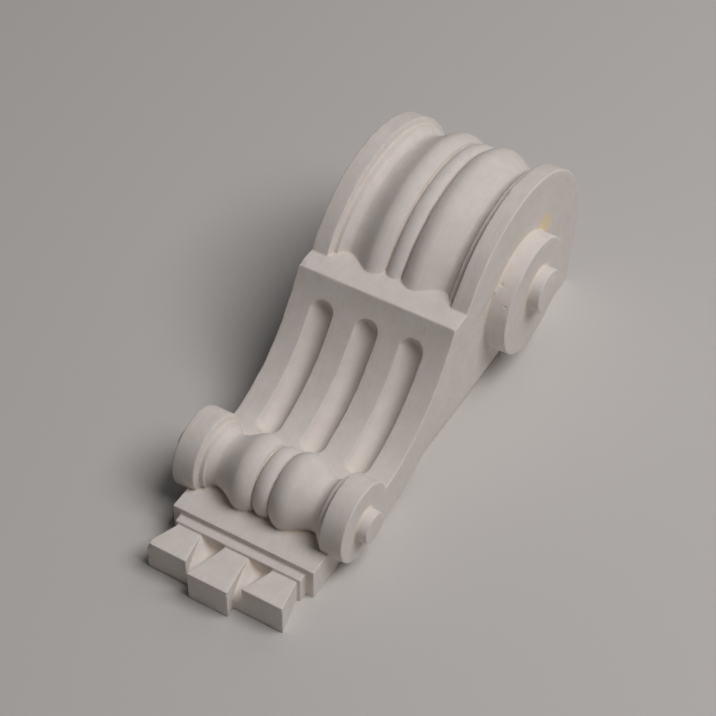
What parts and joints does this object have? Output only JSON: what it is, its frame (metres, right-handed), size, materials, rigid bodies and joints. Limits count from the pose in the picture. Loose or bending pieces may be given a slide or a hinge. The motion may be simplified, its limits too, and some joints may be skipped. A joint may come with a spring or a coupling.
{
  "type": "scroll bracket",
  "caption": "Plaster scroll bracket lying on its back: a large and a small scroll joined by a hollow fluted face, with an eye disc on each flank and flared drops at the narrow end.",
  "frame": {"origin": "on the flat back, midway across the width and midway along the overall length", "axes": "+X to one flank, +Y along the length towards the large scroll (up the wall in use), +Z square off the back towards the fluted face (out of the wall in use); the piece lies on its back as in the picture"},
  "size_m": [0.193, 0.4603, 0.1718],
  "materials": {
    "plaster": null
  },
  "bodies": {
    "root": {"corbel": "plaster"}
  },
  "joints": []
}
